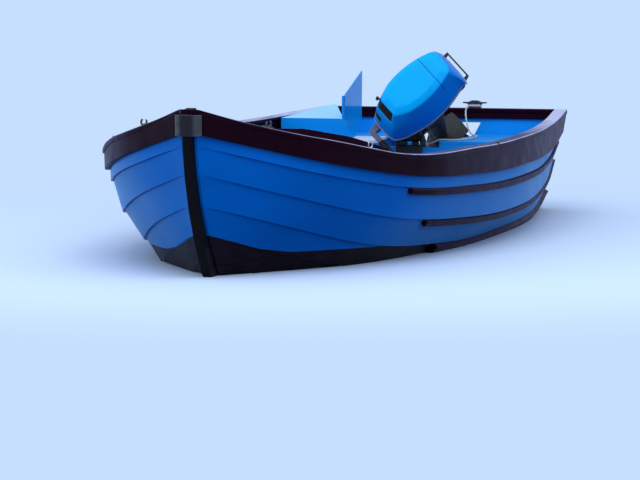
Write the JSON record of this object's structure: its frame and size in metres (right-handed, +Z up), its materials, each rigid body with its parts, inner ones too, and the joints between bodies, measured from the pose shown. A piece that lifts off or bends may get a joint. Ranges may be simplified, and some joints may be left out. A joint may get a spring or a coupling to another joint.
{
  "type": "open boat with outboard motor",
  "caption": "Beamy clinker-planked open boat with rubbing strakes, short foredeck and an outboard motor tilted up in an inboard well.",
  "frame": {"origin": "on the centreline amidships, at the waterline the boat floats to", "axes": "+X forward to the bow, +Y to port, +Z up"},
  "size_m": [4.341, 1.7246, 1.0775],
  "materials": {
    "hull_blue": "gloss",
    "bottom_paint": "worn satin",
    "maroon_paint": "dark gloss paint, worn on its edges",
    "inside_blue": "gloss",
    "sole_grey": "matt",
    "tinted_sheet": "gloss",
    "black_metal": "satin",
    "grey_metal": "weathered",
    "bright_metal": "satin",
    "cowl_blue": "gloss",
    "rim_grey": "satin",
    "black_casting": "satin",
    "bare_casting": "cast",
    "black_plastic": "matt",
    "rope": "matt"
  },
  "bodies": {
    "hull": {"aft_bulkhead": "inside_blue", "aft_decks": "inside_blue", "bilge_rails": "maroon_paint", "bilge_strake_port": "bottom_paint", "bilge_strake_starboard": "bottom_paint", "bottom_strake_port": "bottom_paint", "bottom_strake_starboard": "bottom_paint", "clamp_bracket": "black_casting", "clamp_screws": "bright_metal", "fairleads": "grey_metal", "floor_timbers": "inside_blue", "foredeck": "inside_blue", "garboard_port": "bottom_paint", "garboard_starboard": "bottom_paint", "gunwale_cap_port": "maroon_paint", "gunwale_cap_starboard": "maroon_paint", "keel": "bottom_paint", "lower_battens": "maroon_paint", "lower_topside_port": "hull_blue", "lower_topside_starboard": "hull_blue", "motor_board": "maroon_paint", "motor_safety_line": "rope", "quarter_locker": "inside_blue", "risers": "inside_blue", "rubbing_strake_port": "maroon_paint", "rubbing_strake_starboard": "maroon_paint", "sheer_strake_port": "hull_blue", "sheer_strake_starboard": "hull_blue", "side_screen": "tinted_sheet", "sole": "sole_grey", "stem": "hull_blue", "stem_band": "black_metal", "stem_head_block": "grey_metal", "stern_cleat": "grey_metal", "thwarts": "maroon_paint", "tilt_pin": "bright_metal", "toe_rails": "maroon_paint", "transom": "inside_blue", "transom_cap": "maroon_paint", "transom_inner_board": "maroon_paint", "upper_battens": "maroon_paint", "upper_topside_port": "hull_blue", "upper_topside_starboard": "hull_blue", "well_sides": "inside_blue"},
    "tilt_bracket": {"swivel_bracket": "black_casting"},
    "motor": {"leg": "black_casting", "gearcase": "black_casting", "lower_pan": "black_plastic", "cowl_rim": "rim_grey", "cowl": "cowl_blue", "engine_block": "bare_casting", "steering_arm": "black_plastic", "steering_grip": "black_plastic", "cowl_catch": "black_plastic"},
    "propeller": {"propeller": "black_casting"}
  },
  "joints": [
    {"name": "tilt", "type": "hinge", "parent": "hull", "child": "tilt_bracket", "pos_m": [-1.45, 0, 0.385], "axis": [0, 1, 0], "range_deg": [-70, 0]},
    {"name": "steering", "type": "hinge", "parent": "tilt_bracket", "child": "motor", "pos_m": [-1.47736, 0, 0.46018], "axis": [0.9397, 0, 0.342], "range_deg": [0, 90]},
    {"name": "propeller_spin", "type": "hinge", "parent": "motor", "child": "propeller", "pos_m": [-2.0247, 0.11667, 0.38512], "axis": [0.2418, -0.7071, -0.6645], "continuous": true}
  ]
}
